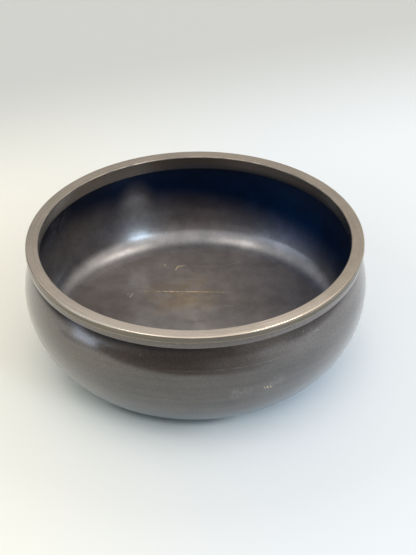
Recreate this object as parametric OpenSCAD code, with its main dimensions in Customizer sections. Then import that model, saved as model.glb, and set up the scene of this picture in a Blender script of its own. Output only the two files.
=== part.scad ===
// Kensui: the waste water bowl of the tea room, in dark patinated bronze.
// Three turned pieces and the two solder beads that join them. Millimetres, +Z up,
// with the origin on the table under the middle of the bowl.

/* [Overall] */
// Height from the table to the flat top of the rim
height = 61; // [56:0.5:70]
// Diameter across the belly, the widest part
belly_d = 160; // [140:1:190]
// Height of the widest part above the table
belly_height = 37.5; // [32:0.5:42]
// How far the outer edge of the foot stands in from the belly
foot_inset = 22.5; // [17:0.5:32]

/* [Wall and floor] */
// Wall thickness at the belly
wall = 2.5; // [1.8:0.1:3.5]
// Wall thickness where the shoulder meets the collar
neck_wall = 2; // [1.6:0.1:3]
// Depth of the inside, from the top of the rim to the floor
floor_depth = 48.2; // [42:0.1:52]
// Radius of the round corner between the wall and the floor
floor_fillet_r = 11.1; // [6:0.1:16]

/* [Rim] */
// How far the outside of the rim stands in from the belly
rim_inset = 1.5; // [0.5:0.1:4]
// Width of the rim's flat top, from its outside to the mouth
rim_w = 6; // [4.6:0.1:8]
// Height of the plain band seen inside the mouth
band_h = 6.7; // [5.5:0.1:9]
// Thickness of the rim's flange, the upper of the two steps seen outside
flange_t = 3.4; // [2.4:0.1:4.4]
// Thickness of the sleeve that drops into the collar
sleeve_t = 1; // [0.7:0.1:1.6]
// How far the flange stands out past the collar
flange_overhang = 0.8; // [0.3:0.1:1.6]
// How far the sleeve stands in past the neck below it
sleeve_lip = 0.5; // [0.2:0.1:1]
// Radius of the rim's upper outer edge
rim_outer_edge_r = 0.8; // [0.2:0.1:1.4]
// Radius of the rim's upper inner edge
rim_inner_edge_r = 0.5; // [0.2:0.1:1.2]
// Radius of the two small edges that frame the seam, and of the collar's lower edge
seam_edge_r = 0.5; // [0.2:0.1:0.9]

/* [Foot and floor plate] */
// Width of the ring that the bowl stands on
foot_w = 3; // [2:0.1:6]
// Thickness of the floor plate
plate_t = 3; // [2:0.1:5]
// Width of the shell's own flat floor left around the plate
floor_land = 1.5; // [0.5:0.1:4]

/* [Soldered joints] */
// Radial gap at the sleeve and around the floor plate
solder_gap = 0.1; // [0.05:0.01:0.2]
// Gap under the sleeve, so that the flange alone carries the rim
sleeve_end_gap = 0.15; // [0.1:0.05:0.3]
// Size of the bead under the sleeve
rim_bead = 0.8; // [0.5:0.05:1.4]
// Size of the bead under the floor plate
base_bead = 0.8; // [0.4:0.1:1.5]

/* [Hidden] */
$fn = 360;

bronze = [0.30, 0.25, 0.21];
bronze_rim = [0.52, 0.46, 0.39];
solder = [0.62, 0.60, 0.56];

belly_r = belly_d / 2;
belly_in_r = belly_r - wall;
foot_r = belly_r - foot_inset;
foot_in_r = foot_r - foot_w;
rim_r = belly_r - rim_inset;
mouth_r = rim_r - rim_w;

// The neck, where the shoulder ends under the collar, and the seat of the flange
neck_z = height - band_h;
seat_z = height - flange_t;
neck_in_r = mouth_r + sleeve_lip;
neck_r = neck_in_r + neck_wall;
collar_r = rim_r - flange_overhang;
sleeve_r = mouth_r + sleeve_t;
counterbore_r = sleeve_r + solder_gap;
sleeve_z = neck_z + sleeve_end_gap;

floor_z = height - floor_depth;
ledge_z = floor_z - plate_t;

// A length to the nearest thousandth, so that neighbouring arcs share their end points
function thousandth(v) = round(v * 1000) / 1000;

// Radius of an arc that leaves a vertical tangent and reaches a point dx in and dz away
function arc_radius(dx, dz) = thousandth((dx * dx + dz * dz) / (2 * dx));

heel_r = arc_radius(belly_r - foot_r, belly_height);
heel_x = belly_r - heel_r;
shoulder_r = arc_radius(belly_r - neck_r, neck_z - belly_height);
shoulder_in_r = arc_radius(belly_in_r - neck_in_r, neck_z - belly_height);

// The inner wall runs parallel to the heel, then turns into the floor on a round corner
heel_in_r = belly_in_r - heel_x;
corner_z = floor_z + floor_fillet_r;
corner_reach = heel_in_r - floor_fillet_r;
corner_x = heel_x + thousandth(sqrt(corner_reach ^ 2 - (belly_height - corner_z) ^ 2));
turn_z = thousandth(belly_height - (belly_height - corner_z) * heel_in_r / corner_reach);
pocket_r = corner_x - floor_land;

// Room that a cut runs past the solid, so that no thin skin is left
past = 5;

// A slab of the half section from the axis out to x, between two heights
module slab(x, z_low, z_high) {
    translate([0, z_low]) square([x, z_high - z_low]);
}

// A slab whose outer edge is an arc about (x, z) instead of a straight line
module arc_slab(x, z, r, z_low, z_high) {
    slab(x, z_low, z_high);
    intersection() {
        translate([x, z]) circle(r);
        translate([x, z_low]) square([r + past, z_high - z_low]);
    }
}

// A slab with its two outer edges rounded: low_r at the bottom and high_r at the top
module round_slab(x, z_low, z_high, low_r, high_r) {
    slab(x - max(low_r, high_r), z_low, z_high);
    slab(x, z_low + low_r, z_high - high_r);
    arc_slab(x - low_r, z_low + low_r, low_r, z_low, z_low + low_r);
    arc_slab(x - high_r, z_high - high_r, high_r, z_high - high_r, z_high);
}

// Half section of the whole outside of the shell, filled to the axis
module shell_outside() {
    arc_slab(heel_x, belly_height, heel_r, 0, belly_height);
    arc_slab(belly_r - shoulder_r, belly_height, shoulder_r, belly_height, neck_z);
    round_slab(collar_r, neck_z, seat_z, seam_edge_r, seam_edge_r);
}

// Half section of the hollow above the floor, with the counterbore for the sleeve
module shell_hollow() {
    arc_slab(corner_x, corner_z, floor_fillet_r, floor_z, turn_z);
    arc_slab(heel_x, belly_height, heel_in_r, turn_z, belly_height);
    arc_slab(belly_in_r - shoulder_in_r, belly_height, shoulder_in_r, belly_height, neck_z);
    slab(counterbore_r, neck_z, seat_z + past);
}

module bowl_shell() {
    color(bronze) rotate_extrude() difference() {
        shell_outside();
        shell_hollow();
        slab(pocket_r, ledge_z, corner_z);
        slab(foot_in_r, -past, floor_z);
    }
}

module rim_ring() {
    inner_edge_x = mouth_r + rim_inner_edge_r;
    inner_edge_z = height - rim_inner_edge_r;
    color(bronze_rim) rotate_extrude() {
        difference() {
            round_slab(rim_r, seat_z, height, seam_edge_r, rim_outer_edge_r);
            slab(inner_edge_x, seat_z - past, height + past);
        }
        translate([mouth_r, seat_z]) square([rim_inner_edge_r, inner_edge_z - seat_z]);
        intersection() {
            translate([inner_edge_x, inner_edge_z]) circle(rim_inner_edge_r);
            translate([mouth_r, inner_edge_z]) square(rim_inner_edge_r);
        }
        translate([mouth_r, sleeve_z]) square([sleeve_t, seat_z - sleeve_z]);
    }
}

module base_plate() {
    color(bronze) translate([0, 0, ledge_z]) cylinder(h = plate_t, r = pocket_r - solder_gap);
}

module rim_solder() {
    color(solder) rotate_extrude() intersection() {
        shell_hollow();
        polygon([
            [mouth_r, sleeve_z],
            [counterbore_r + past, sleeve_z],
            [counterbore_r + past, sleeve_z - rim_bead],
            [mouth_r + rim_bead, sleeve_z - rim_bead],
        ]);
    }
}

module base_solder() {
    color(solder) rotate_extrude() polygon([
        [foot_in_r, ledge_z],
        [foot_in_r - base_bead, ledge_z],
        [foot_in_r, ledge_z - base_bead],
    ]);
}

bowl_shell();
rim_ring();
base_plate();
rim_solder();
base_solder();
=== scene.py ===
# %% [markdown]
# # A waste water bowl for the tea room, in patinated bronze
#
# The bowl is three turned pieces: a round shell, a rim ring let into its mouth and a plate
# let into its floor. Two beads of solder hold them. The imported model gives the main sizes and
# every place, so the script loads it first and then dresses each piece where it stands.

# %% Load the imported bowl
import math
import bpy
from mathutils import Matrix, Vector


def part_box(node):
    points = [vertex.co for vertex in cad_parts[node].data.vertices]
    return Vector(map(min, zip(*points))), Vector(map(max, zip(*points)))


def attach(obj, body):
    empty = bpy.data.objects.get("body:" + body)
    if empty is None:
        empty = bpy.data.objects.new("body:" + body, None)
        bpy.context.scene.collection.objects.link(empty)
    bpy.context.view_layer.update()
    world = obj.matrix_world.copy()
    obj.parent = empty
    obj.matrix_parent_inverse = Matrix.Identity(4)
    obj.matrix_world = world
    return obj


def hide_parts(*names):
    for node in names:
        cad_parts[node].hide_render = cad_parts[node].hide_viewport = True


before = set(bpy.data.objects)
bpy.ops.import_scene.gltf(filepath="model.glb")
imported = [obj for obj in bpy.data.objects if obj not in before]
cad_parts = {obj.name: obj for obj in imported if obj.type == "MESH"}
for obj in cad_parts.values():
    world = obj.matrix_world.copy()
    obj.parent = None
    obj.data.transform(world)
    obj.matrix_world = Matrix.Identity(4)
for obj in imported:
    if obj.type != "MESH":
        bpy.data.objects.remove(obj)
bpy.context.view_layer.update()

from types import SimpleNamespace

import bmesh
import bpy
from mathutils import Matrix, Vector

scene = bpy.context.scene
scene.view_settings.view_transform = "Standard"
print("pieces to dress:", sorted(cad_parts))

# %% [markdown]
# ## The sizes
#
# A turned piece is known by a few radii and heights. Those that a piece's own box shows are
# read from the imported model, and the rest are written here once, in metres. The profile is a
# chain of arcs, and each arc's radius follows from the two points that it joins.

# %% Read the sizes from the frame
MM = 0.001

belly_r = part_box("bowl_shell")[1].x
seat_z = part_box("bowl_shell")[1].z
rim_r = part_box("rim_ring")[1].x
sleeve_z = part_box("rim_ring")[0].z
rim_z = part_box("rim_ring")[1].z
ledge_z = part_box("base_plate")[0].z
floor_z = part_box("base_plate")[1].z
bead_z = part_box("rim_solder")[0].z
recess_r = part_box("base_solder")[1].x
recess_bead = ledge_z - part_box("base_solder")[0].z

belly_z = 37.5 * MM
neck_z = 54.3 * MM
foot_w = 3 * MM
wall = 2.5 * MM
neck_wall = 2 * MM
rim_w = 6 * MM
sleeve_t = 1 * MM
sleeve_lip = 0.5 * MM
solder_gap = 0.1 * MM
flange_overhang = 0.8 * MM
fillet_r = 11.1 * MM
floor_land = 1.5 * MM

foot_r = recess_r + foot_w
mouth_r = rim_r - rim_w
collar_r = rim_r - flange_overhang
neck_in_r = mouth_r + sleeve_lip
neck_r = neck_in_r + neck_wall
belly_in_r = belly_r - wall
counterbore_r = mouth_r + sleeve_t + solder_gap
print(f"belly {belly_r / MM:.1f}, rim {rim_r / MM:.1f}, mouth {mouth_r / MM:.1f} mm in radius")

# %% Work out the arcs of the profile


def arc_radius(dx, dz):
    """Radius of an arc that starts upright and ends dx in and dz away."""
    return (dx * dx + dz * dz) / (2 * dx)


heel_r = arc_radius(belly_r - foot_r, belly_z)
heel_x = belly_r - heel_r
shoulder_r = arc_radius(belly_r - neck_r, neck_z - belly_z)
shoulder_x = belly_r - shoulder_r
shoulder_in_x = belly_in_r - arc_radius(belly_in_r - neck_in_r, neck_z - belly_z)

# The inner wall runs parallel to the heel, then turns into the floor on a round corner
heel_in_r = belly_in_r - heel_x
corner_z = floor_z + fillet_r
corner_x = heel_x + math.sqrt((heel_in_r - fillet_r) ** 2 - (belly_z - corner_z) ** 2)
lean = (belly_z - corner_z) / (heel_in_r - fillet_r)
turn_z = belly_z - heel_in_r * lean
turn_x = heel_x + heel_in_r * math.sqrt(1 - lean * lean)
pocket_r = corner_x - floor_land
print(f"heel arc {heel_r / MM:.1f}, shoulder arc {shoulder_r / MM:.1f}, pocket {pocket_r / MM:.1f} mm")

# %% [markdown]
# ## The camera
#
# The camera looks down at the bowl along +Y. It could be aimed by eye, but a rim is a circle,
# and the ellipse that it makes fixes the view: the camera stands off from the middle of the
# rim, rolls a little, and pans until that middle sits at its place in the picture.

# %% Set up the camera
PICTURE_W, PICTURE_H = 416, 555
RIM_MIDDLE_PX = (194.8, 237.4)
FOCAL_PX = 1860
VIEW_ELEVATION = math.radians(33.27)
VIEW_ROLL = math.radians(-1.08)
VIEW_DISTANCE = 862 * MM
SENSOR_W = 36

camera = bpy.data.objects.new("camera", bpy.data.cameras.new("camera"))
scene.collection.objects.link(camera)
scene.camera = camera
camera.data.sensor_width = SENSOR_W
camera.data.lens = FOCAL_PX * SENSOR_W / PICTURE_H

back = Vector((0, -math.cos(VIEW_ELEVATION), math.sin(VIEW_ELEVATION)))
right = Vector((1, 0, 0))
look = Matrix((right, back.cross(right), back)).transposed()
seen_at = Vector((RIM_MIDDLE_PX[0] - PICTURE_W / 2, PICTURE_H / 2 - RIM_MIDDLE_PX[1], -FOCAL_PX))
pan = seen_at.rotation_difference(Vector((0, 0, -1))).to_matrix()
turn = look @ Matrix.Rotation(VIEW_ROLL, 3, "Z") @ pan
place = Vector((0, 0, rim_z)) + back * VIEW_DISTANCE
camera.matrix_world = Matrix.Translation(place) @ turn.to_4x4()
print("camera lens", round(camera.data.lens, 1), "at", [round(c, 3) for c in place])

# %% [markdown]
# ## Small helpers for nodes
#
# Shader trees are easier to read as formulas than as long lists of links. Each of these
# helpers adds a node or two and hands back an output, so that a mask can be written as a
# short expression. A mask is a number from 0 to 1 that says where an effect lies.

# %% Helpers that add one node


def feed(tree, socket, value):
    """Links a socket to another node's output, or sets it to a plain value."""
    if isinstance(value, bpy.types.NodeSocket):
        tree.links.new(value, socket)
    else:
        socket.default_value = value


def calculate(tree, kind, operation, values):
    step = tree.nodes.new(kind)
    step.operation = operation
    for socket, value in zip(step.inputs, values):
        feed(tree, socket, value)
    return step.outputs


def maths(tree, operation, *values):
    return calculate(tree, "ShaderNodeMath", operation, values)["Value"]


def vector_maths(tree, operation, *values):
    outputs = calculate(tree, "ShaderNodeVectorMath", operation, values)
    return outputs["Value" if operation in ("LENGTH", "DOT_PRODUCT") else "Vector"]


def axes(tree, vector):
    """The X, Y and Z of a vector."""
    split = tree.nodes.new("ShaderNodeSeparateXYZ")
    feed(tree, split.inputs[0], vector)
    return split.outputs


def fade(tree, value, span, levels=(0.0, 1.0)):
    """Runs smoothly from one level to the other while the value crosses a span."""
    step = tree.nodes.new("ShaderNodeMapRange")
    step.interpolation_type = "SMOOTHSTEP"
    for socket, number in zip(step.inputs, (value, *span, *levels)):
        feed(tree, socket, number)
    return step.outputs["Result"]


def tint(tree, amount, under, over, blend="MIX"):
    """Lays one colour over another, by an amount from 0 to 1."""
    step = tree.nodes.new("ShaderNodeMix")
    step.data_type = "RGBA"
    step.blend_type = blend
    feed(tree, step.inputs[0], amount)
    feed(tree, step.inputs[6], under)
    feed(tree, step.inputs[7], over)
    return step.outputs[2]


def ramp(tree, value, span, under, over, blend="MIX"):
    """Lays one colour over another, more and more while the value crosses a span."""
    return tint(tree, fade(tree, value, span), under, over, blend)


def noise(tree, vector, scale, detail, roughness=0.5):
    step = tree.nodes.new("ShaderNodeTexNoise")
    step.inputs["Scale"].default_value = scale
    step.inputs["Detail"].default_value = detail
    step.inputs["Roughness"].default_value = roughness
    feed(tree, step.inputs["Vector"], vector)
    return step.outputs["Fac"]


print("node helpers ready")

# %% Helpers that put masks together


def times(tree, first, *others):
    """Multiplies masks, which leaves what all of them cover."""
    for other in others:
        first = maths(tree, "MULTIPLY", first, other)
    return first


def without(tree, mask, share=1.0):
    """A mask turned round: 1 where it is 0, and 1 - share where it is 1."""
    return maths(tree, "MULTIPLY_ADD", mask, -share, 1.0)


def towards(tree, vector, way):
    """How far a vector points a given way: 1 straight along it, -1 straight against it."""
    return vector_maths(tree, "DOT_PRODUCT", vector, way)


def distance_to(tree, point, place):
    return vector_maths(tree, "LENGTH", vector_maths(tree, "SUBTRACT", point, place))


def own_place(tree):
    """The point's place in the object's own frame, which is the bowl's."""
    return tree.nodes.new("ShaderNodeTexCoord").outputs["Object"]


def mm(*lengths):
    """Lengths in millimetres, as metres."""
    return tuple(length * MM for length in lengths)


print("mask helpers ready")

# %% [markdown]
# ## The room
#
# Dark polished metal has little colour of its own: what one sees in it is the room. One plain
# grey would make the bowl look like plastic, so the world is painted by direction, and twice.
# Mirrored rays see a room: a pale wall behind the bowl, the dim side where the viewer stands
# with a bright ceiling over it, dim sides, and a pale curtain at the left. All other rays see
# only a soft light, a little cooler from the right and the front. A picture of a room could
# do the same, but a few ramps are easier to steer. Light Path tells the two kinds of ray apart.

# %% Find the directions in the room
RIGHT_SIDE = (0.98, -0.17, 0)

room = bpy.data.worlds.new("room")
scene.world = room
room.use_nodes = True
# Only a ray that hits the world finds its colour, so that each kind of ray sees its own room
room.cycles.sampling_method = "NONE"

sky = room.node_tree
direction = sky.nodes.new("ShaderNodeTexCoord").outputs["Generated"]
bearing = vector_maths(sky, "NORMALIZE", vector_maths(sky, "MULTIPLY", direction, (1, 1, 0)))
upward = axes(sky, direction)["Z"]
towards_viewer = towards(sky, bearing, (0, -1, 0))
towards_right = towards(sky, bearing, RIGHT_SIDE)
sideways = maths(sky, "ABSOLUTE", towards(sky, bearing, (1, 0, 0)))
print("directions:", len(sky.nodes), "nodes")

# %% Paint the room that mirrored rays see
ROOM_WALL_LOW = (0.56, 0.56, 0.55, 1)
ROOM_WALL_HIGH = (1.16, 1.15, 1.14, 1)
ROOM_WALL_STEP = (0.56, 0.605)
DIM_ROOM = (0.13, 0.115, 0.11, 1)
BRIGHT_CEILING = (1.22, 1.23, 1.25, 1)
CEILING_RISE = (0.20, 0.95)
VIEWER_SPAN = (0.45, 0.88)
DIM_SIDES = (0.22, 0.22, 0.23, 1)
SIDE_SPAN = (0.60, 0.90)
SIDE_TOP = (0.60, 0.48)
CURTAIN = (1.25, 1.38, 1.52, 1)
CURTAIN_AT = (-0.885, -0.322, 0.342)
CURTAIN_EDGE = (0.88, 0.97)
LEFT_SHADE = (0.80, 0.84, 0.90, 1)
RIGHT_SHADE = (1.18, 1.16, 1.14, 1)
SHADE_SPAN = (-0.9, 0.7)

wall_behind = ramp(sky, upward, ROOM_WALL_STEP, ROOM_WALL_LOW, ROOM_WALL_HIGH)
near_side = ramp(sky, upward, CEILING_RISE, DIM_ROOM, BRIGHT_CEILING)
mirrored = ramp(sky, towards_viewer, VIEWER_SPAN, wall_behind, near_side)
low_sides = times(sky, fade(sky, sideways, SIDE_SPAN), fade(sky, upward, SIDE_TOP))
mirrored = tint(sky, low_sides, mirrored, DIM_SIDES)
curtain = fade(sky, towards(sky, direction, CURTAIN_AT), CURTAIN_EDGE)
mirrored = tint(sky, curtain, mirrored, CURTAIN)
across_room = ramp(sky, towards_right, SHADE_SPAN, LEFT_SHADE, RIGHT_SHADE)
mirrored = tint(sky, 1.0, mirrored, across_room, "MULTIPLY")
print("with the mirrored room:", len(sky.nodes), "nodes")

# %% Paint the soft light that all other rays see
SOFT_LEFT = (1.00, 1.07, 1.08, 1)
SOFT_RIGHT = (1.30, 1.48, 1.68, 1)
SOFT_FRONT = (1.62, 1.90, 2.04, 1)
SOFT_BACK = (1.76, 1.82, 1.68, 1)
SOFT_HIGH = (1.01, 0.88, 0.81, 1)
SOFT_SPAN = (-0.5, 0.5)
SIDE_TO_END = (0.87, 0.20)
HORIZON_RISE = (0.0, 0.3)
HORIZON_SHARE = 0.30
SOFT_RISE = (0.40, 0.95)

soft_sides = ramp(sky, towards_right, SOFT_SPAN, SOFT_LEFT, SOFT_RIGHT)
soft_ends = ramp(sky, towards_viewer, SOFT_SPAN, SOFT_BACK, SOFT_FRONT)
soft = ramp(sky, sideways, SIDE_TO_END, soft_sides, soft_ends)
soft = tint(sky, 1.0, soft, fade(sky, upward, HORIZON_RISE, (HORIZON_SHARE, 1.0)), "MULTIPLY")
soft = ramp(sky, upward, SOFT_RISE, soft, SOFT_HIGH)
is_mirrored = sky.nodes.new("ShaderNodeLightPath").outputs["Is Glossy Ray"]
feed(sky, sky.nodes["Background"].inputs["Color"], tint(sky, is_mirrored, soft, mirrored))
print("with the soft light:", len(sky.nodes), "nodes")

# %% [markdown]
# ## The window and the lamps
#
# A tall bluish window, low in front at the right, and two warm lamps overhead make the bright
# spots in the metal. Each is an area lamp, placed by the compass bearing and the height at
# which the bowl sees it. Its power follows from its size, so that its brightness reads on the
# same scale as the room: a brightness of 1 is a white wall. Of the three, only the window
# lights the table: the warm lamps are left out of diffuse light, and throw no shadows there.

# %% Hang the lamps
COOL = (0.60, 0.80, 1.0)
WARM = (1.0, 0.95, 0.88)


def area_lamp(name, bearing, height, away_by, size, brightness, colour, lights_table):
    """A lamp at a bearing (degrees from +Y towards +X) and a height in degrees."""
    lamp = bpy.data.objects.new(name, bpy.data.lights.new(name, "AREA"))
    scene.collection.objects.link(lamp)
    lamp.data.shape = "RECTANGLE"
    lamp.data.size, lamp.data.size_y = size
    lamp.data.energy = brightness * math.pi * size[0] * size[1]
    lamp.data.color = colour
    turn, rise = math.radians(bearing), math.radians(height)
    away = Vector((math.sin(turn) * math.cos(rise), math.cos(turn) * math.cos(rise), math.sin(rise)))
    lamp.location = away * away_by + Vector((0, 0, belly_z))
    lamp.rotation_euler = away.to_track_quat("Z", "Y").to_euler()
    lamp.visible_camera = False
    lamp.visible_diffuse = lights_table
    return lamp


lamps = [
    area_lamp("right_window", 137, 25, 1.6, (0.36, 0.92), 6.6, COOL, lights_table=True),
    area_lamp("right_ceiling_lamp", 66, 66, 1.8, (0.20, 0.40), 18.0, WARM, lights_table=False),
    area_lamp("left_ceiling_lamp", -100, 72, 1.8, (0.20, 0.36), 15.0, WARM, lights_table=False),
]
print("lamps:", [lamp.name for lamp in lamps])

# %% [markdown]
# ## The table
#
# The bowl stands on a pale table. Its paper is painted warmer at the left and cooler at the
# right as painted light, a little darker away from the bowl, and with painted shade far
# behind. A plane in one colour would do for its shape, but the soft light comes from all
# sides and leaves so little shadow that the bowl would seem to float. So the paper is painted
# round the foot, by the distance from the bowl's axis: a dark line of contact in front, and a
# soft pool of shade to the left.

# %% Paper and planes for the stage
PAPER_ROUGHNESS = 0.9
PAPER_SPECULAR = 0.2


def stage_plane(name, corners, material):
    """A flat card through the given corners, which is not part of the bowl."""
    mesh = bmesh.new()
    bmesh.ops.contextual_create(mesh, geom=[mesh.verts.new(corner) for corner in corners])
    card = bpy.data.objects.new(name, bpy.data.meshes.new(name))
    mesh.to_mesh(card.data)
    mesh.free()
    card.data.materials.append(material)
    scene.collection.objects.link(card)
    return card


def new_material(name):
    """A new material, with its tree and its shader."""
    material = bpy.data.materials.new(name)
    material.use_nodes = True
    tree = material.node_tree
    return material, tree, tree.nodes["Principled BSDF"]


def plain_paper(name, colour, glow=0.0):
    material, _, shader = new_material(name)
    shader.inputs["Base Color"].default_value = colour
    shader.inputs["Roughness"].default_value = PAPER_ROUGHNESS
    shader.inputs["Specular IOR Level"].default_value = PAPER_SPECULAR
    shader.inputs["Emission Color"].default_value = colour
    shader.inputs["Emission Strength"].default_value = glow
    return material


print("stage helpers ready")

# %% Paint the table's paper
# Painted light: the paper is warmer at the left and cooler at the right; painted shade greys it far behind
TABLE_WARM_LIT = (0.95, 0.93, 0.825, 1)
TABLE_COOL_LIT = (0.85, 0.87, 0.87, 1)
WARM_TO_COOL = mm(-120, 60)
DIMMING_SPAN = mm(75, 125)
DIMMED_SHARE = 0.90
TABLE_FAR_SHADE = (0.54, 0.54, 0.51, 1)
FAR_SPAN = mm(140, 310)
FAR_SLANT = -0.3
CONTACT_SHADE = (0.38, 0.40, 0.41, 1)
CONTACT_WAY = (-0.26, -0.966, 0)
CONTACT_TURN = (0.83, 0.96)
CONTACT_REACH = mm(7, 0.6)
POOL_SHADE = (0.70, 0.70, 0.69, 1)
POOL_WAY = (-0.574, -0.819, 0)
POOL_TURN = (0.72, 0.95)
POOL_REACH = mm(18, 1)
UNDER_FOOT = mm(3, 1)


def foot_shade(tree, point, way, turn, reach):
    """A shade round one side of the foot, which fades out over its reach."""
    spread = vector_maths(tree, "LENGTH", point)
    that_way = fade(tree, towards(tree, vector_maths(tree, "NORMALIZE", point), way), turn)
    beyond_foot = fade(tree, spread, [foot_r + edge for edge in reach])
    from_foot = fade(tree, spread, [foot_r - edge for edge in UNDER_FOOT])
    return times(tree, that_way, beyond_foot, from_foot)


def table_paper():
    material = plain_paper("table paper", TABLE_COOL_LIT)
    tree = material.node_tree
    point = own_place(tree)
    across, along = axes(tree, point)[:2]
    spread = vector_maths(tree, "LENGTH", point)
    # Painted light, warm at the left and cool at the right
    colour = ramp(tree, across, WARM_TO_COOL, TABLE_WARM_LIT, TABLE_COOL_LIT)
    dimming = fade(tree, spread, DIMMING_SPAN, (1.0, DIMMED_SHARE))
    colour = tint(tree, 1.0, colour, dimming, "MULTIPLY")
    contact = foot_shade(tree, point, CONTACT_WAY, CONTACT_TURN, CONTACT_REACH)
    colour = tint(tree, contact, colour, CONTACT_SHADE, "MULTIPLY")
    pool = foot_shade(tree, point, POOL_WAY, POOL_TURN, POOL_REACH)
    colour = tint(tree, pool, colour, POOL_SHADE, "MULTIPLY")
    # Painted shade far behind the bowl
    far = maths(tree, "MULTIPLY_ADD", across, FAR_SLANT, along)
    colour = ramp(tree, far, FAR_SPAN, colour, TABLE_FAR_SHADE)
    feed(tree, tree.nodes["Principled BSDF"].inputs["Base Color"], colour)
    return material


print("table paper ready")

# %% Lay the table
TABLE_SIZE = 4.0

half = TABLE_SIZE / 2
corners = [(-half, -half, 0), (half, -half, 0), (half, half, 0), (-half, half, 0)]
table = stage_plane("table", corners, table_paper())
print(table.name, TABLE_SIZE, "m across")

# %% [markdown]
# ## The cards
#
# Whoever photographs polished metal shapes its reflections with cards, and so does this step.
# The table has to go on to the horizon for the other views, but the metal mirrors its near
# edge with the dim room beyond. So three cards stand along that edge, dark at the left and
# paler to the right. More cards dim the left of the bowl, and one that glows makes the soft
# gleam there. The window shade keeps the window off the outside, so it alone casts a shadow.
# The camera and diffuse light don't see any of them.

# %% Stand the cards round the bowl
DARK = (0.19, 0.165, 0.155, 1)
DUSK = (0.27, 0.25, 0.24, 1)
DIM = (0.46, 0.45, 0.45, 1)
PALE_GREY = (0.80, 0.80, 0.81, 1)
PALE_BLUE = (0.74, 0.83, 1.0, 1)
GLEAM = 1.3
DARK_TO_DIM = mm(-20, 60)
DIM_TO_PALE = mm(50, 125)


def graded_paper():
    """Paper for the table's edge: dark at the left, and paler and paler to the right."""
    material = plain_paper("edge paper", DARK)
    tree = material.node_tree
    across = axes(tree, own_place(tree))["X"]
    colour = ramp(tree, across, DARK_TO_DIM, DARK, DIM)
    colour = ramp(tree, across, DIM_TO_PALE, colour, PALE_GREY)
    feed(tree, tree.nodes["Principled BSDF"].inputs["Base Color"], colour)
    return material


edge_paper = graded_paper()
dim_paper = plain_paper("dim paper", DIM)
dusk_paper = plain_paper("dusk paper", DUSK)
gleaming_paper = plain_paper("gleaming paper", PALE_BLUE, GLEAM)

# Each card: its name, where it starts and ends on the table, its heights in mm, its paper
CARDS = [
    ("left_edge", (-480, -178), (10, -180), (0, 60), edge_paper),
    ("right_edge", (10, -180), (80, -155), (0, 60), edge_paper),
    ("right_end", (80, -155), (150, -130), (0, 60), edge_paper),
    ("left_low", (-205, -150), (-195, -40), (0, 20), dim_paper),
    ("window_shade", (47, -140), (93, -98), (60, 103), dim_paper),
    ("left_shade", (-150, -85), (-80, -160), (60, 92), dusk_paper),
    ("left_gleam", (-282, -177), (-312, -93), (12, 62), gleaming_paper),
]

for name, start, end, (low, high), paper in CARDS:
    corners = [mm(*start, low), mm(*end, low), mm(*end, high), mm(*start, high)]
    card = stage_plane(name, corners, paper)
    card.visible_camera = False
    card.visible_diffuse = False
    card.visible_shadow = name == "window_shade"
print("cards:", [card[0] for card in CARDS])

# %% [markdown]
# ## How a turned piece is made
#
# A turner sees a bowl as one half section, swept round an axis. Blender can do the same: a
# pen draws the half section in the XZ plane with straight lines and compass arcs, and the
# Spin operator sweeps it round Z. A modifier stack with Screw would also work, but the
# operator leaves a plain mesh whose edges can be bevelled at once. Even the arcs are Spin:
# the pen's tip is swung about the arc's middle.

# %% A pen for half sections
ARC_STEP = math.radians(2.5)


class Outline:
    """Half of a turned piece's section, drawn stroke by stroke."""

    def __init__(self, x, z):
        self.mesh = bmesh.new()
        self.tip = self.first = self.mesh.verts.new((x, 0, z))

    def line_to(self, x, z):
        self.tip = bmesh.ops.extrude_vert_indiv(self.mesh, verts=[self.tip])["verts"][0]
        self.tip.co = (x, 0, z)

    def arc_to(self, x, z, middle_x, middle_z):
        """Swings the tip about a middle, the short way, until it points at (x, z)."""
        begin = math.atan2(self.tip.co.z - middle_z, self.tip.co.x - middle_x)
        swing = math.atan2(z - middle_z, x - middle_x) - begin
        steps = max(2, round(abs(swing) / ARC_STEP))
        made = bmesh.ops.spin(self.mesh, geom=[self.tip], cent=(middle_x, 0, middle_z),
                              axis=(0, -1, 0), angle=swing, steps=steps)
        self.tip = made["geom_last"][0]
        self.tip.co = (x, 0, z)

    def close(self):
        self.mesh.edges.new((self.tip, self.first))


print("pen ready")

# %% A lathe and a file
TURN_STEPS = 256
MERGE_WITHIN = 0.001 * MM
FIND_WITHIN = 0.01 * MM


def spin_round(outline):
    """Sweeps the half section once round the axis of the bowl."""
    mesh = outline.mesh
    bmesh.ops.spin(mesh, geom=mesh.verts[:] + mesh.edges[:], cent=(0, 0, 0), axis=(0, 0, 1),
                   angle=2 * math.pi, steps=TURN_STEPS, use_merge=True)
    bmesh.ops.remove_doubles(mesh, verts=mesh.verts[:], dist=MERGE_WITHIN)
    bmesh.ops.recalc_face_normals(mesh, faces=mesh.faces[:])
    return mesh


def round_over(mesh, x, z, size, segments=4):
    """Rounds the edge that runs round the bowl at radius x and height z."""
    ring = {v for v in mesh.verts
            if abs(v.co.xy.length - x) < FIND_WITHIN and abs(v.co.z - z) < FIND_WITHIN}
    edges = [e for e in mesh.edges if e.verts[0] in ring and e.verts[1] in ring]
    bmesh.ops.bevel(mesh, geom=edges, offset=size, offset_type="OFFSET", segments=segments,
                    profile=0.5, affect="EDGES", material=-1)


print("lathe and file ready")

# %% [markdown]
# ## From mesh to piece
#
# Every piece takes the place of its CAD node, rides on the bowl's one body and takes its
# finish. Long flat faces next to small rounded edges shade badly with plain averaged
# normals, so a Weighted Normal modifier lets the large faces decide. A face attribute tells
# the finish which side of the metal is the inside of the bowl.

# %% Finish a piece
SHARP = math.radians(40)
FACES_AXIS = -0.1
FACES_UP = 0.5


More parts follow.
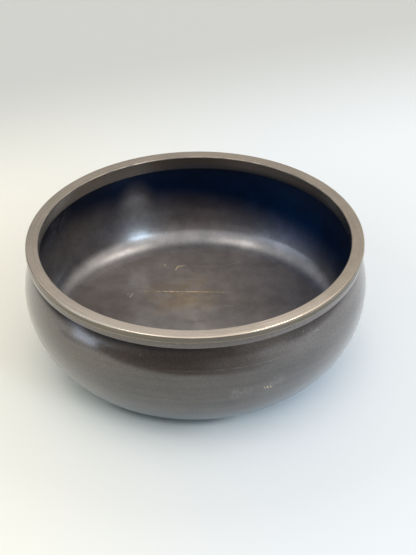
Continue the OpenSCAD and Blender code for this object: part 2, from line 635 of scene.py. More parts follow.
def finish_piece(mesh, node, material):
    piece = bpy.data.objects.new(f"turned_{node}", bpy.data.meshes.new(node))
    mesh.to_mesh(piece.data)
    mesh.free()
    scene.collection.objects.link(piece)
    piece.data.materials.append(material)
    piece.data.shade_smooth()
    piece.data.set_sharp_from_angle(angle=SHARP)
    inside = piece.data.attributes.new("inside", "FLOAT", "FACE")
    for face in piece.data.polygons:
        inward = face.normal.xy.dot(face.center.xy.normalized()) < FACES_AXIS
        upward = face.normal.z > FACES_UP
        inside.data[face.index].value = float((inward or upward) and face.center.z > ledge_z)
    weights = piece.modifiers.new("large faces lead", "WEIGHTED_NORMAL")
    weights.keep_sharp = True
    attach(piece, "root")
    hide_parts(node)
    print(piece.name, len(piece.data.polygons), "faces")


print("pieces can be finished")

# %% [markdown]
# ## Shared effects
#
# The same few effects make every finish on the bowl: fine rings from the lathe, clouds in the
# patina, rubbed rings along edges, which on the rim's inner edge carry painted shade, and
# single scratches. Each could be drawn again in every material, but as a node group it is
# built once, and each finish places it with its own values. All read Object coordinates, where
# the bowl's axis is Z, so that rings come from the distance to that axis.

# %% Helpers for node groups


def new_group(name, inputs, outputs):
    """An empty node group with the given inputs (name: default) and output names."""
    group = bpy.data.node_groups.new(name, "ShaderNodeTree")
    for label, value in inputs.items():
        kind = "NodeSocketVector" if isinstance(value, tuple) else "NodeSocketFloat"
        group.interface.new_socket(label, in_out="INPUT", socket_type=kind).default_value = value
    for label in outputs:
        group.interface.new_socket(label, in_out="OUTPUT", socket_type="NodeSocketFloat")
    entry = group.nodes.new("NodeGroupInput").outputs
    leave = group.nodes.new("NodeGroupOutput").inputs
    return group, entry, leave


def add_group(tree, group, **values):
    """Places a group in a tree, feeds its inputs and returns its outputs."""
    step = tree.nodes.new("ShaderNodeGroup")
    step.node_tree = group
    for label, value in values.items():
        feed(tree, step.inputs[label], value)
    return step.outputs


def on_bowl(tree):
    """Where a point of the bowl is: across, along, its height and its distance from the axis."""
    point = own_place(tree)
    across, along, height = axes(tree, point)
    flat = vector_maths(tree, "MULTIPLY", point, (1, 1, 0))
    radius = vector_maths(tree, "LENGTH", flat)
    return SimpleNamespace(point=point, across=across, along=along, height=height, flat=flat, radius=radius)


print("group helpers ready")

# %% Turning lines


def make_turning_lines():
    """Fine rings round the axis. Wander says how much they change on the way round."""
    tree, entry, leave = new_group("Turning lines", {"Spacing": 0.5 * MM, "Wander": 2.0}, ["Lines"])
    at = on_bowl(tree)
    outward = maths(tree, "ADD", at.radius, at.height)
    rings = tree.nodes.new("ShaderNodeCombineXYZ")
    feed(tree, rings.inputs["Z"], maths(tree, "DIVIDE", outward, entry["Spacing"]))
    around = vector_maths(tree, "MULTIPLY", vector_maths(tree, "NORMALIZE", at.flat), entry["Wander"])
    place = vector_maths(tree, "ADD", around, rings.outputs[0])
    feed(tree, leave["Lines"], noise(tree, place, scale=1.0, detail=3.0, roughness=0.6))
    return tree


turning_lines = make_turning_lines()
print("group:", turning_lines.name)

# %% Patina clouds
MID_TONES = (0.3, 0.7)


def make_patina_clouds():
    """Soft clouds of a given size, and a fine grain to go with them."""
    tree, entry, leave = new_group("Patina clouds", {"Size": 30 * MM}, ["Clouds", "Grain"])
    place = vector_maths(tree, "DIVIDE", own_place(tree), entry["Size"])
    clouds = noise(tree, place, scale=1.0, detail=4.0, roughness=0.55)
    feed(tree, leave["Clouds"], fade(tree, clouds, MID_TONES))
    feed(tree, leave["Grain"], noise(tree, place, scale=14.0, detail=3.0, roughness=0.6))
    return tree


patina_clouds = make_patina_clouds()
print("group:", patina_clouds.name)

# %% Rubbed rings
RUB_EDGE = (1.0, 0.2)
RUB_BREAKS = (0.65, 0.35)


def make_rub_and_shade_ring():
    """A ring at a radius and a height, with breaks in it, where hands and cloths have rubbed; on the rim's
    inner edge it carries painted shade.
    """
    inputs = {"Radius": 70 * MM, "Height": 60 * MM, "Reach": 0.8 * MM, "Breaks": 0.5}
    tree, entry, leave = new_group("Rubbed ring", inputs, ["Rub"])
    at = on_bowl(tree)
    gap_r = maths(tree, "SUBTRACT", at.radius, entry["Radius"])
    gap_z = maths(tree, "SUBTRACT", at.height, entry["Height"])
    gap = maths(tree, "SQRT", maths(tree, "ADD", times(tree, gap_r, gap_r), times(tree, gap_z, gap_z)))
    near = fade(tree, maths(tree, "DIVIDE", gap, entry["Reach"]), RUB_EDGE)
    patchy = fade(tree, noise(tree, at.point, scale=160, detail=3), RUB_BREAKS)
    patchy = times(tree, patchy, entry["Breaks"])
    feed(tree, leave["Rub"], times(tree, near, without(tree, patchy)))
    return tree


rub_and_shade_ring = make_rub_and_shade_ring()


def rub_and_shade_edge(tree, radius, height, reach, breaks):
    """The mask of such a ring, for rubbed metal and for painted shade, with its reach in millimetres."""
    ring = add_group(tree, rub_and_shade_ring, Radius=radius, Height=height, Reach=reach * MM, Breaks=breaks)
    return ring["Rub"]


print("group:", rub_and_shade_ring.name)

# %% Single scratches
SCRATCH_EDGE = (1.0, 0.3)
SCRATCH_SKIPS = (0.42, 0.56)


def make_scratch():
    """A scratch from one place to another, which skips here and there."""
    inputs = {"From": (0.0, 0.0, 0.0), "To": mm(10, 0, 0), "Width": 0.3 * MM, "Gaps": 0.5}
    tree, entry, leave = new_group("Scratch", inputs, ["Mark"])
    point = own_place(tree)
    stroke = vector_maths(tree, "SUBTRACT", entry["To"], entry["From"])
    offset = vector_maths(tree, "SUBTRACT", point, entry["From"])
    share = maths(tree, "DIVIDE", towards(tree, offset, stroke), towards(tree, stroke, stroke))
    held = tree.nodes.new("ShaderNodeClamp")
    feed(tree, held.inputs[0], share)
    nearest = vector_maths(tree, "MULTIPLY", stroke, held.outputs[0])
    beside = distance_to(tree, offset, nearest)
    line = fade(tree, maths(tree, "DIVIDE", beside, entry["Width"]), SCRATCH_EDGE)
    skips = fade(tree, noise(tree, point, scale=900, detail=2), SCRATCH_SKIPS)
    skips = times(tree, skips, entry["Gaps"])
    feed(tree, leave["Mark"], times(tree, line, without(tree, skips)))
    return tree


scratch_mark = make_scratch()
print("group:", scratch_mark.name)

# %% [markdown]
# ## Scratches and scuffs
#
# The bowl has been used. A few scratches go through the patina to the yellow metal, some
# scuffs are only pale, and here and there something has brushed the outside. A painted
# texture could hold them, but a list of places is easier to read and stays sharp at any size.
# A mark is written in millimetres by two numbers, and the profile gives the third: on the
# floor the height, and on the outside how far the wall comes forward.

# %% Places on the bowl


def on_floor(x, y):
    return (x * MM, y * MM, floor_z)


def wall_radius(z):
    """Radius of the bowl's outside at a height."""
    middle_x, radius = (heel_x, heel_r) if z < belly_z else (shoulder_x, shoulder_r)
    return middle_x + math.sqrt(radius ** 2 - (z - belly_z) ** 2)


def on_front(x, z):
    """The place on the front of the bowl's outside, x across and z up."""
    x, z = mm(x, z)
    return (x, -math.sqrt(wall_radius(z) ** 2 - x ** 2), z)


print("a place on the front:", [round(c / MM, 1) for c in on_front(30, 30)])

# %% List the scratches and scuffs
# Each mark: from, to, its width in mm, and how much of it is gaps
FLOOR_SCRATCHES = [
    ((-28.8, 26.5), (-16.0, 25.9), 0.18, 0.9),
    ((-16.0, 25.9), (8.0, 24.5), 0.34, 0.8),
    ((8.0, 24.5), (16.7, 24.0), 0.18, 0.9),
    ((-9.9, 44.2), (-8.7, 47.3), 0.30, 0.4),
    ((-8.7, 47.3), (-5.2, 48.1), 0.30, 0.5),
    ((-15.4, 48.9), (-15.0, 48.9), 0.40, 0.2),
]
FLOOR_SCUFFS = [
    ((-32.1, 21.6), (-30.7, 25.0), 0.80, 0.6),
    ((-33.5, 23.6), (-32.9, 24.2), 0.60, 0.5),
    ((13.5, 13.0), (17.8, 12.4), 0.34, 0.7),
    ((-0.2, 47.5), (11.3, 46.2), 0.24, 0.8),
    ((11.3, 46.2), (22.4, 50.3), 0.24, 0.8),
]
FRONT_SCRATCHES = [
    ((29.4, 29.6), (29.8, 29.0), 0.42, 0.8),
    ((30.7, 29.7), (30.9, 28.9), 0.38, 0.8),
    ((31.9, 29.6), (32.4, 28.7), 0.45, 0.7),
]
FRONT_SCUFFS = [
    ((-24.8, 48.9), (-24.6, 48.9), 0.30, 0.0),
    ((28.0, 48.4), (28.6, 48.4), 0.20, 0.4),
    ((46.4, 50.8), (47.2, 50.8), 0.22, 0.4),
    ((51.4, 48.6), (54.0, 48.2), 0.18, 0.8),
]


def scratches(tree, marks, on_side):
    """All the listed scratches in one mask, placed on one side of the bowl."""
    total = 0.0
    for start, end, width, gaps in marks:
        mark = add_group(tree, scratch_mark, From=on_side(*start), To=on_side(*end),
                         Width=width * MM, Gaps=gaps)
        total = maths(tree, "MAXIMUM", total, mark["Mark"])
    return total


print(len(FLOOR_SCRATCHES + FRONT_SCRATCHES), "scratches,", len(FLOOR_SCUFFS + FRONT_SCUFFS), "scuffs")

# %% Handling marks of the shell
PALE_SCUFF = (0.46, 0.45, 0.43, 1)
DUST = (0.30, 0.32, 0.36, 1)
PATCH_CORE = 0.12
PATCH_SPECKS = (0.36, 0.72)
SMEAR = (mm(-67, 37, 42), 16 * MM)
SMEAR_FINENESS = 170
# Each patch: its place on the front and its reach, in mm
BRUSHED_PATCHES = [
    ((31.5, 30.0), 4.5),
    ((36.0, 32.0), 5.0),
    ((17.0, 29.4), 5.5),
    ((22.0, 29.5), 4.0),
    ((50.0, 49.5), 6.0),
]
BRUSHED_FINENESS = 420
BRUSHED_SHARE = 0.22
LINE_Z = 43.6 * MM
LINE_START = mm(-22, -4)
LINE_END = mm(45, 22)
LINE_SHARE = 0.22


def speckled_patch(tree, point, place, reach, fineness):
    """A soft-edged patch of specks, where something has brushed the metal."""
    near = fade(tree, distance_to(tree, point, place), (reach, PATCH_CORE * reach))
    specks = noise(tree, point, scale=fineness, detail=5, roughness=0.75)
    return times(tree, near, fade(tree, specks, PATCH_SPECKS))


def belly_line(tree, at):
    """A faint broken line round the front, just above the widest part."""
    line = rub_and_shade_edge(tree, wall_radius(LINE_Z), LINE_Z, reach=0.45, breaks=0.9)
    start = fade(tree, at.across, LINE_START)
    end = fade(tree, at.across, LINE_END, (0.0, LINE_SHARE))
    return times(tree, line, start, end, at.outside), PALE_SCUFF


def dusty_smear(tree, at):
    """A dull smear high on the inside, at the left of the back."""
    return times(tree, speckled_patch(tree, at.point, *SMEAR, SMEAR_FINENESS), at.inside), DUST


def brushed_front(tree, at):
    """Patches of fine pale specks on the outside."""
    total = 0.0
    for place, reach in BRUSHED_PATCHES:
        patch = speckled_patch(tree, at.point, on_front(*place), reach * MM, BRUSHED_FINENESS)
        total = maths(tree, "MAXIMUM", total, patch)
    return times(tree, total, BRUSHED_SHARE), PALE_SCUFF


print("handling marks ready,", len(BRUSHED_PATCHES), "brushed patches")

# %% [markdown]
# ## The patinated bronze
#
# The shell and the floor plate are dark bronze: a thin brown-black patina over yellow metal,
# waxed and handled. It is made as a metal with a dark colour, not as black paint with a
# shine, because what it mirrors has to take the patina's tint. The patina isn't the same all
# over, and light and shade are painted into it as well. Inside, the upper wall is painted
# blue-black as shade, which starts lower towards the right, and a paler column at the left is
# a painted highlight streak. The wall is painted lighter at the left and darker and bluer at
# the right, the floor a little darker towards its edge, and the round corner a paler grey as a
# painted highlight. The floor is rubbed warmer. Outside, painted shade makes dark lines under
# the collar and round the foot, the heel is painted blue as a reflection of the shaded table,
# and the right side is painted lighter and bluer. So the masks come first, then the colours.

# %% Where each kind of patina lies
# Painted shade: the upper inside wall goes blue-black, starting lower towards the right
UPPER_SHADE_HEIGHTS = mm(19.5, 41)
UPPER_SHADE_SLANT = 0.13
# Painted highlight: a paler column at the left, where the painted shade starts higher
HIGHLIGHT_COLUMN_X = -29 * MM
HIGHLIGHT_COLUMN_EDGE = mm(11, 2)
HIGHLIGHT_COLUMN_RISE = 8 * MM
LOW_HEIGHTS = mm(22, 13)
CORNER_RADII = mm(60, 66.2)
# Painted shade: a dark line under the collar, faint at the right
NECK_SHADE_HEIGHTS = (neck_z - 4 * MM, neck_z - 1.5 * MM)
COLLAR_FOOT = (neck_z + 0.1 * MM, neck_z)
NECK_SHADE_SPAN = mm(32, -5)
NECK_SHADE_SHARE = 0.1
# Painted shadow: a dark line round the foot where it meets the table
FOOT_SHADOW_HEIGHTS = mm(1.6, 0.9)


def add_masks(tree, at):
    """Adds the masks of the patina to what is known of a point."""
    side = tree.nodes.new("ShaderNodeAttribute")
    side.attribute_name = "inside"
    at.inside = side.outputs["Fac"]
    at.outside = without(tree, at.inside)

    # Painted shade high on the inside wall
    slanting = maths(tree, "MULTIPLY_ADD", at.across, UPPER_SHADE_SLANT, at.height)
    # The column that lifts the painted shade is a painted highlight streak
    beside_highlight_column = maths(tree, "ABSOLUTE", maths(tree, "SUBTRACT", at.across, HIGHLIGHT_COLUMN_X))
    column = fade(tree, beside_highlight_column, HIGHLIGHT_COLUMN_EDGE, (0.0, HIGHLIGHT_COLUMN_RISE))
    at.bloom = times(tree, at.inside, fade(tree, maths(tree, "SUBTRACT", slanting, column), UPPER_SHADE_HEIGHTS))

    at.low = times(tree, at.inside, fade(tree, at.height, LOW_HEIGHTS))
    at.corner = fade(tree, at.radius, CORNER_RADII)
    at.plain_floor = times(tree, at.low, without(tree, at.corner))

    # Painted shade under the collar
    neck = fade(tree, at.height, NECK_SHADE_HEIGHTS)
    below_collar = fade(tree, at.height, COLLAR_FOOT)
    neck_shade_side = fade(tree, at.across, NECK_SHADE_SPAN, (NECK_SHADE_SHARE, 1.0))
    at.neck = times(tree, at.outside, neck, below_collar, neck_shade_side)
    # Painted contact shadow at the foot
    at.foot_line = times(tree, at.outside, fade(tree, at.height, FOOT_SHADOW_HEIGHTS))


print("patina masks ready")

# %% The colours outside
PATINA_DARK = (0.056, 0.050, 0.046, 1)
PATINA_BROWN = (0.082, 0.070, 0.061, 1)
CLOUD_SIZE = 35 * MM
SHOULDER_BROWN = (0.108, 0.088, 0.078, 1)
SHOULDER_HEIGHTS = mm(38, 49)
# Painted reflection: the heel is blue where it mirrors the shaded table
HEEL_REFLECTION_BLUE = (0.040, 0.068, 0.105, 1)
HEEL_REFLECTION_HEIGHTS = mm(17, 4)
HEEL_REFLECTION_RADII = (foot_r - 2 * MM, foot_r)
# Painted light: the outside is lighter and bluer towards the right
RIGHT_PAINTED_LIGHT = (1.46, 1.58, 1.78, 1)
RIGHT_LIGHT_SPAN = mm(12, 55)
# Colour of the painted shade under the collar
NECK_SHADE = (0.046, 0.041, 0.040, 1)
# Colour of the painted shadow at the foot
FOOT_SHADOW = (0.015, 0.015, 0.016, 1)


def outside_colour(tree, at):
    clouds = add_group(tree, patina_clouds, Size=CLOUD_SIZE)["Clouds"]
    colour = tint(tree, clouds, PATINA_DARK, PATINA_BROWN)
    colour = ramp(tree, at.height, SHOULDER_HEIGHTS, colour, SHOULDER_BROWN)
    # Painted reflection of the shaded table on the heel
    heel = times(tree, fade(tree, at.height, HEEL_REFLECTION_HEIGHTS), fade(tree, at.radius, HEEL_REFLECTION_RADII))
    colour = tint(tree, heel, colour, HEEL_REFLECTION_BLUE)
    # Painted light on the right side of the outside
    colour = ramp(tree, at.across, RIGHT_LIGHT_SPAN, colour, RIGHT_PAINTED_LIGHT, "MULTIPLY")
    # Painted shade under the collar
    colour = tint(tree, at.neck, colour, NECK_SHADE)
    # Painted shadow round the foot
    return tint(tree, at.foot_line, colour, FOOT_SHADOW)


print("outside colours ready")

# %% The colours inside
# Painted light and shade: the inside wall is lighter and warmer at the left, darker and bluer at the right
WALL_LEFT_LIT = (0.330, 0.292, 0.268, 1)
WALL_BROWN = (0.220, 0.193, 0.180, 1)
WALL_RIGHT_SHADED = (0.195, 0.205, 0.255, 1)
WALL_LIT_SPAN = mm(-36, -68)
WALL_SHADED_SPAN = mm(0, 55)
# Blue-black painted shade high on the inside wall, deeper towards the right
UPPER_SHADE_BLUE = (0.005, 0.018, 0.060, 1)
DEEP_UPPER_SHADE = (0.003, 0.032, 0.118, 1)
DEEP_UPPER_SHADE_SPAN = mm(0, 70)
# Painted shade: the floor is a little darker towards its edge
FLOOR_EDGE_SHADE = (0.212, 0.188, 0.177, 1)
FLOOR_BROWN = (0.225, 0.195, 0.175, 1)
FLOOR_MIDDLE = on_floor(-6, 10)
FLOOR_SHADE_RADII = mm(60, 22)
FLOOR_OCHRE = (0.240, 0.187, 0.134, 1)
OCHRE_MIDDLE = on_floor(-6, 22)
OCHRE_RADII = mm(26, 6)
OCHRE_SPECKS = (0.36, 0.64)
# Painted highlight: the round corner is a paler grey, which brightens the ring of reflected light there
CORNER_HIGHLIGHT_GREY = (0.285, 0.272, 0.267, 1)


# Painted light at the left of the inside wall, painted shade at its right
def wall_colour(tree, at):
    colour = ramp(tree, at.across, WALL_LIT_SPAN, WALL_BROWN, WALL_LEFT_LIT)
    return ramp(tree, at.across, WALL_SHADED_SPAN, colour, WALL_RIGHT_SHADED)


# Painted shade: the blue-black high on the inside wall
def bloom_colour(tree, at):
    return ramp(tree, at.across, DEEP_UPPER_SHADE_SPAN, UPPER_SHADE_BLUE, DEEP_UPPER_SHADE)


def floor_colour(tree, at):
    # Painted shade towards the floor's edge
    middle = fade(tree, distance_to(tree, at.point, FLOOR_MIDDLE), FLOOR_SHADE_RADII)
    colour = tint(tree, middle, FLOOR_EDGE_SHADE, FLOOR_BROWN)
    rubbed = fade(tree, distance_to(tree, at.point, OCHRE_MIDDLE), OCHRE_RADII)
    specks = noise(tree, at.point, scale=90, detail=3, roughness=0.6)
    rubbed = times(tree, rubbed, fade(tree, specks, OCHRE_SPECKS))
    colour = tint(tree, rubbed, colour, FLOOR_OCHRE)
    # The paler round corner is a painted highlight
    return tint(tree, at.corner, colour, CORNER_HIGHLIGHT_GREY)


print("inside colours ready")

# %% Put the patina's colour together
WALL_COVER = 0.9
STREAK_SPACING = 3.5 * MM
STREAK_WANDER = 1.4
SHADE_RANGE = (0.86, 1.14)
GRAIN_RANGE = (0.82, 1.18)
GRAIN_INSIDE = 0.4


def patina_colour(tree, at):
    colour = outside_colour(tree, at)
    colour = tint(tree, times(tree, at.inside, WALL_COVER), colour, wall_colour(tree, at))
    # Lays the painted shade over the upper inside wall
    colour = tint(tree, at.bloom, colour, bloom_colour(tree, at))
    return tint(tree, at.low, colour, floor_colour(tree, at))


def broken_up(tree, at, colour):
    """Mottles a colour inside, streaks it round the outside, and gives it grain all over."""
    mottle = noise(tree, at.point, scale=110, detail=3, roughness=0.55)
    streaks = add_group(tree, turning_lines, Spacing=STREAK_SPACING, Wander=STREAK_WANDER)["Lines"]
    shade = maths(tree, "ADD", times(tree, at.inside, mottle), times(tree, at.outside, streaks))
    colour = tint(tree, 1.0, colour, fade(tree, shade, MID_TONES, SHADE_RANGE), "MULTIPLY")
    grain = noise(tree, at.point, scale=1100, detail=3, roughness=0.65)
    amount = fade(tree, at.inside, (0.0, 1.0), (1.0, GRAIN_INSIDE))
    return tint(tree, amount, colour, fade(tree, grain, MID_TONES, GRAIN_RANGE), "MULTIPLY")


print("patina colour ready")

# %% [markdown]
# ## Wax, grooves and relief
#
# A waxed bronze has two shines: the metal's own, broad and tinted, and the wax's, narrow and
# colourless. The Principled shader's coat stands for the wax. It is thinner on the floor and
# on the lines of painted shade under the collar and round the foot, and missing in the round
# corner and where the upper wall is painted dark as shade. The lathe's grooves draw each
# highlight out to a streak, which the shader gives by anisotropy and needs no geometry for.
# Only the scratches and the lines inside are deep enough for a bump.

# %% The patina's gloss and relief
OUTSIDE_ROUGHNESS = 0.28
INSIDE_ROUGHER = 0.08
FLOOR_ROUGHER = 0.20
SCRATCH_ROUGHER = 0.2
PATINA_METALLIC = 0.97
WAX_ROUGHNESS = 0.17
WAX_IOR = 1.8
WAX_TO_UPPER_SHADE = (0.0, 0.6)
FLOOR_UNWAXED = 0.5
LINE_UNWAXED = 0.8
ROUND_HEIGHTS = mm(18, 15)
ROUND_RADII = mm(48, 58)
GROOVES_TURN = 0.25
BUMP_HEIGHT = 0.1 * MM


def patina_gloss(tree, at, shader, scratch, grooved):
    rough = maths(tree, "MULTIPLY_ADD", at.inside, INSIDE_ROUGHER, OUTSIDE_ROUGHNESS)
    rough = maths(tree, "MULTIPLY_ADD", at.plain_floor, FLOOR_ROUGHER, rough)
    rough = maths(tree, "MULTIPLY_ADD", scratch, SCRATCH_ROUGHER, rough)
    feed(tree, shader.inputs["Roughness"], rough)
    shader.inputs["Metallic"].default_value = PATINA_METALLIC
    shader.inputs["Anisotropic"].default_value = grooved
    shader.inputs["Anisotropic Rotation"].default_value = GROOVES_TURN

    waxed = fade(tree, at.bloom, WAX_TO_UPPER_SHADE, (1.0, 0.0))
    floor_wax = without(tree, at.plain_floor, FLOOR_UNWAXED)
    line_wax = without(tree, maths(tree, "MAXIMUM", at.foot_line, at.neck), LINE_UNWAXED)
    round_corner = times(tree, at.inside, fade(tree, at.height, ROUND_HEIGHTS))
    round_corner = times(tree, round_corner, fade(tree, at.radius, ROUND_RADII))
    waxed = times(tree, waxed, floor_wax, line_wax, without(tree, round_corner))
    feed(tree, shader.inputs["Coat Weight"], waxed)
    shader.inputs["Coat Roughness"].default_value = WAX_ROUGHNESS
    shader.inputs["Coat IOR"].default_value = WAX_IOR


def raise_relief(tree, shader, relief, strength):
    """Bumps the surface by a relief from 0 to 1."""
    bump = tree.nodes.new("ShaderNodeBump")
    bump.inputs["Strength"].default_value = strength
    bump.inputs["Distance"].default_value = BUMP_HEIGHT
    feed(tree, bump.inputs["Height"], relief)
    feed(tree, shader.inputs["Normal"], bump.outputs["Normal"])


print("gloss and relief ready")

# %% Patinated bronze, for the shell and the floor plate
BARE_BRONZE = (0.80, 0.62, 0.36, 1)
SCUFF_SHARE = 0.60
LINE_SPACING = 0.9 * MM
LINE_WANDER = 2.0
LINE_DEPTH = 0.5
PATINA_RELIEF = 0.08


def patinated_bronze(name, on_side, scratched, scuffed, grooved, handled=()):
    material, tree, shader = new_material(name)
    at = on_bowl(tree)
    add_masks(tree, at)
    colour = broken_up(tree, at, patina_colour(tree, at))
    for handling in handled:
        mask, over = handling(tree, at)
        colour = tint(tree, mask, colour, over)
    scuff = times(tree, scratches(tree, scuffed, on_side), SCUFF_SHARE)
    colour = tint(tree, scuff, colour, PALE_SCUFF)
    scratch = scratches(tree, scratched, on_side)
    colour = tint(tree, scratch, colour, BARE_BRONZE)
    feed(tree, shader.inputs["Base Color"], colour)
    patina_gloss(tree, at, shader, scratch, grooved)
    lines = add_group(tree, turning_lines, Spacing=LINE_SPACING, Wander=LINE_WANDER)["Lines"]
    relief = maths(tree, "SUBTRACT", times(tree, lines, at.inside, LINE_DEPTH), scratch)
    raise_relief(tree, shader, relief, PATINA_RELIEF)
    return material


shell_finish = patinated_bronze("patinated bronze shell", on_front, FRONT_SCRATCHES, FRONT_SCUFFS,
                                grooved=0.65, handled=(belly_line, dusty_smear, brushed_front))
plate_finish = patinated_bronze("patinated bronze plate", on_floor, FLOOR_SCRATCHES, FLOOR_SCUFFS,
                                grooved=0.55)
print("finishes:", shell_finish.name, "and", plate_finish.name)

# %% [markdown]
# ## The rubbed rim
#
# The rim's flat top was left paler than the rest: the patina there is thin and rubbed, and the
# lathe's rings show as fine grooves. Its front is painted paler still, as painted light. Its
# outer edges are the brightest, because every cloth and hand passes over them, while its inner
# edge is painted darker, as painted shade that dims its highlight. The band inside the mouth
# is painted with light and shade: darkest at the back, bright at the left, and darker again at
# its foot. One finish with masks does all this, so that the ring stays one piece of metal.

# %% The colours of the rim
RIM_BRONZE = (0.470, 0.392, 0.308, 1)
# Painted light: the rim's top is paler towards the front
RIM_FRONT_LIGHT = (0.62, 0.525, 0.425, 1)
RIM_FRONT_LIGHT_SPAN = mm(-30, -72)
RIM_BROWN = (0.175, 0.155, 0.130, 1)
TOP_HEIGHTS = (rim_z - 1 * MM, rim_z - 0.2 * MM)
# The band's colours are painted light and shade round the mouth
BAND_SHADED = (0.140, 0.125, 0.112, 1)
BAND_RIGHT_LIT = (0.270, 0.250, 0.235, 1)
BAND_RIGHT_LIT_SPAN = mm(3, 28)
BAND_LIT_BROWN = (0.60, 0.515, 0.42, 1)
BAND_LIT_SPAN = mm(-2, -60)
BAND_LEFT_LIT = (0.95, 0.86, 0.74, 1)
BAND_LEFT_LIT_SPAN = mm(-56, -70)
BAND_FOOT_SHADE = (0.085, 0.095, 0.125, 1)
BAND_FOOT_LEFT_LIT = (0.55, 0.47, 0.39, 1)
BAND_FOOT_HEIGHTS = mm(58, 54.5)
BAND_RADII = (mouth_r + 0.6 * MM, mouth_r + 0.2 * MM)
BAND_HEIGHTS = (rim_z - 0.2 * MM, rim_z - 0.8 * MM)


def rim_top_colour(tree, at):
    # The top's front is painted paler, as painted light
    top = ramp(tree, at.along, RIM_FRONT_LIGHT_SPAN, RIM_BRONZE, RIM_FRONT_LIGHT)
    return ramp(tree, at.height, TOP_HEIGHTS, RIM_BROWN, top)


def band_colour(tree, at):
    """The band seen inside the mouth, painted with light and shade: shaded at the back, lit round to its
    bright left side, and shaded at its foot.
    """
    leftward = fade(tree, at.across, BAND_LIT_SPAN)
    band = ramp(tree, at.across, BAND_RIGHT_LIT_SPAN, BAND_SHADED, BAND_RIGHT_LIT)
    band = tint(tree, leftward, band, BAND_LIT_BROWN)
    band = ramp(tree, at.across, BAND_LEFT_LIT_SPAN, band, BAND_LEFT_LIT)
    band_foot_shade = tint(tree, leftward, BAND_FOOT_SHADE, BAND_FOOT_LEFT_LIT)
    return ramp(tree, at.height, BAND_FOOT_HEIGHTS, band, band_foot_shade)


print("rim colours ready")

# %% Rubbed bronze, for the rim ring
RIM_BARE = (0.66, 0.57, 0.45, 1)
RIM_CLOUD_SIZE = 20 * MM
RIM_CLOUD_SHARE = 0.25
RIM_LINE_SPACING = 0.5 * MM
RIM_LINE_WANDER = 3.0
RIM_LINE_TONES = (0.25, 0.75)
RIM_LINE_RANGE = (0.89, 1.11)
RUB_SHARE = 0.6
GRAIN_TONES = (0.2, 0.8)
RIM_ROUGHNESS = (0.17, 0.24)
INNER_ROUGHER = 0.3
RIM_METALLIC = 0.95
RIM_RELIEF = 0.25


def rubbed_bronze():
    material, tree, shader = new_material("rubbed bronze")
    at = on_bowl(tree)
    clouds = add_group(tree, patina_clouds, Size=RIM_CLOUD_SIZE)
    lines = add_group(tree, turning_lines, Spacing=RIM_LINE_SPACING, Wander=RIM_LINE_WANDER)["Lines"]
    outer = rub_and_shade_edge(tree, rim_r, rim_z, reach=1.0, breaks=0.5)
    lower = rub_and_shade_edge(tree, rim_r, seat_z, reach=0.8, breaks=0.4)
    # The ring along the inner edge carries painted shade, which dims its highlight
    inner = rub_and_shade_edge(tree, mouth_r, rim_z, reach=0.8, breaks=0.6)

    colour = rim_top_colour(tree, at)
    colour = tint(tree, times(tree, clouds["Clouds"], RIM_CLOUD_SHARE), colour, RIM_BROWN)
    colour = tint(tree, 1.0, colour, fade(tree, lines, RIM_LINE_TONES, RIM_LINE_RANGE), "MULTIPLY")
    colour = tint(tree, times(tree, maths(tree, "MAXIMUM", outer, lower), RUB_SHARE), colour, RIM_BARE)
    in_mouth = times(tree, fade(tree, at.radius, BAND_RADII), fade(tree, at.height, BAND_HEIGHTS))
    colour = tint(tree, in_mouth, colour, band_colour(tree, at))
    # Painted shade along the inner edge
    colour = tint(tree, inner, colour, RIM_BROWN)
    feed(tree, shader.inputs["Base Color"], colour)

    rough = fade(tree, clouds["Grain"], GRAIN_TONES, RIM_ROUGHNESS)
    feed(tree, shader.inputs["Roughness"], maths(tree, "MULTIPLY_ADD", inner, INNER_ROUGHER, rough))
    shader.inputs["Metallic"].default_value = RIM_METALLIC
    raise_relief(tree, shader, lines, RIM_RELIEF)
    return material


rim_finish = rubbed_bronze()
print("finish:", rim_finish.name)

# %% [markdown]
# ## The solder
#
# The two beads are soft grey metal that flowed into the corner and froze there, dull and a
# little lumpy. The upper one, inside the mouth, took the patina with the bowl. They hardly
# show, but a piece seen from below or in section should look right.

# %% Solder, for the two beads
SOLDER_GREY = (0.42, 0.40, 0.37, 1)
SOLDER_DULL = (0.24, 0.225, 0.21, 1)
SOLDER_STAINED = (0.016, 0.020, 0.030, 1)
STAIN_HEIGHTS = (floor_z, neck_z - 5 * MM)
SOLDER_CLOUD_SIZE = 6 * MM
SOLDER_ROUGHNESS = (0.38, 0.55)
SOLDER_METALLIC = 0.9
SOLDER_RELIEF = 0.4


def solder():
    material, tree, shader = new_material("solder")
    at = on_bowl(tree)
    clouds = add_group(tree, patina_clouds, Size=SOLDER_CLOUD_SIZE)
    colour = tint(tree, clouds["Clouds"], SOLDER_DULL, SOLDER_GREY)
    colour = ramp(tree, at.height, STAIN_HEIGHTS, colour, SOLDER_STAINED)
    feed(tree, shader.inputs["Base Color"], colour)
    feed(tree, shader.inputs["Roughness"], fade(tree, clouds["Grain"], GRAIN_TONES, SOLDER_ROUGHNESS))
    shader.inputs["Metallic"].default_value = SOLDER_METALLIC
    raise_relief(tree, shader, clouds["Clouds"], SOLDER_RELIEF)
    return material


solder_finish = solder()
print("finish:", solder_finish.name)

# %% [markdown]
# ## The shell
#
# The shell is the bowl's body: a foot ring, a heel that swells to the belly, a shoulder that
# draws in to the neck, and a collar that carries the rim. Its inside follows the outside at
# the wall's thickness and turns into the floor on a round corner. All of it is one half
# section, drawn from the foot's inner edge up the outside and back down the inside.

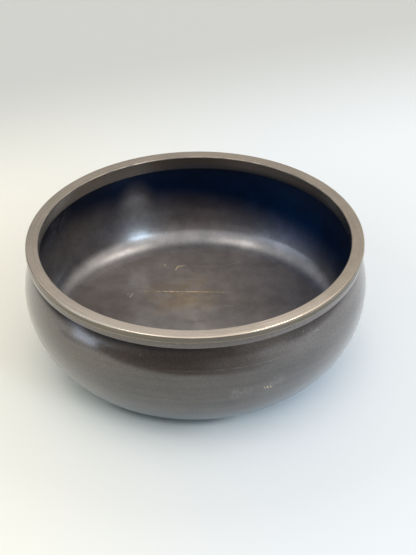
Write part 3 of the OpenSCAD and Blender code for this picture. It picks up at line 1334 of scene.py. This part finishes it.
# %% Draw the shell's section
shell = Outline(recess_r, 0)
shell.line_to(foot_r, 0)
shell.arc_to(belly_r, belly_z, heel_x, belly_z)
shell.arc_to(neck_r, neck_z, shoulder_x, belly_z)
shell.line_to(collar_r, neck_z)
shell.line_to(collar_r, seat_z)
shell.line_to(counterbore_r, seat_z)
shell.line_to(counterbore_r, neck_z)
shell.line_to(neck_in_r, neck_z)
shell.arc_to(belly_in_r, belly_z, shoulder_in_x, belly_z)
shell.arc_to(turn_x, turn_z, heel_x, belly_z)
shell.arc_to(corner_x, floor_z, corner_x, corner_z)
shell.line_to(pocket_r, floor_z)
shell.line_to(pocket_r, ledge_z)
shell.line_to(recess_r, ledge_z)
shell.close()
print("shell section:", len(shell.mesh.verts), "points")

# %% Turn the shell and round its edges
SEAM_EDGE = 0.5 * MM
FOOT_EDGE = 0.8 * MM

mesh = spin_round(shell)
for z in (neck_z, seat_z):
    round_over(mesh, collar_r, z, SEAM_EDGE)
for x in (foot_r, recess_r):
    round_over(mesh, x, 0, FOOT_EDGE, segments=3)
finish_piece(mesh, "bowl_shell", shell_finish)

# %% [markdown]
# ## The rim ring
#
# The ring is an L in section: a flange that lies on the collar and stands out a little past
# it, and a sleeve that drops into the neck. The step between flange and collar is the fine
# line that runs round the bowl under its rim. The section is drawn with sharp corners and the
# edges are bevelled after the turning, so that each keeps a radius of its own.

# %% Turn the rim ring
RIM_OUTER_EDGE = 0.8 * MM
RIM_INNER_EDGE = 0.5 * MM
SLEEVE_EDGE = 0.15 * MM

rim = Outline(mouth_r, sleeve_z)
rim.line_to(mouth_r + sleeve_t, sleeve_z)
rim.line_to(mouth_r + sleeve_t, seat_z)
rim.line_to(rim_r, seat_z)
rim.line_to(rim_r, rim_z)
rim.line_to(mouth_r, rim_z)
rim.close()

mesh = spin_round(rim)
round_over(mesh, rim_r, rim_z, RIM_OUTER_EDGE, segments=6)
round_over(mesh, mouth_r, rim_z, RIM_INNER_EDGE)
round_over(mesh, rim_r, seat_z, SEAM_EDGE)
round_over(mesh, mouth_r, sleeve_z, SLEEVE_EDGE, segments=2)
finish_piece(mesh, "rim_ring", rim_finish)

# %% [markdown]
# ## The floor plate
#
# A plain disc, dropped into the pocket from above and soldered from below. Its edge was made
# flush and patinated with the shell, so its seam is only a hair wide. The section is left
# open at the axis, where the turning closes it.

# %% Turn the floor plate
SEAM = 0.02 * MM

plate = Outline(0, ledge_z)
plate.line_to(pocket_r - SEAM, ledge_z)
plate.line_to(pocket_r - SEAM, floor_z)
plate.line_to(0, floor_z)
finish_piece(spin_round(plate), "base_plate", plate_finish)

# %% [markdown]
# ## The two beads of solder
#
# One bead runs under the sleeve and closes the counterbore, and one fills the corner between
# the floor plate and the foot. Solder that wets two walls draws up between them, so the upper
# bead's face slopes and the lower one's is hollow.

# %% Turn the beads
BEAD_SLOPE = 0.3 * MM

upper = Outline(mouth_r + SLEEVE_EDGE, sleeve_z)
upper.line_to(counterbore_r, sleeve_z)
upper.line_to(counterbore_r, neck_z)
upper.line_to(neck_in_r, neck_z)
upper.line_to(neck_in_r + BEAD_SLOPE, bead_z)
upper.close()
finish_piece(spin_round(upper), "rim_solder", solder_finish)

lower = Outline(recess_r, ledge_z)
lower.line_to(recess_r - recess_bead, ledge_z)
lower.arc_to(recess_r, ledge_z - recess_bead, recess_r - recess_bead, ledge_z - recess_bead)
lower.close()
finish_piece(spin_round(lower), "base_solder", solder_finish)
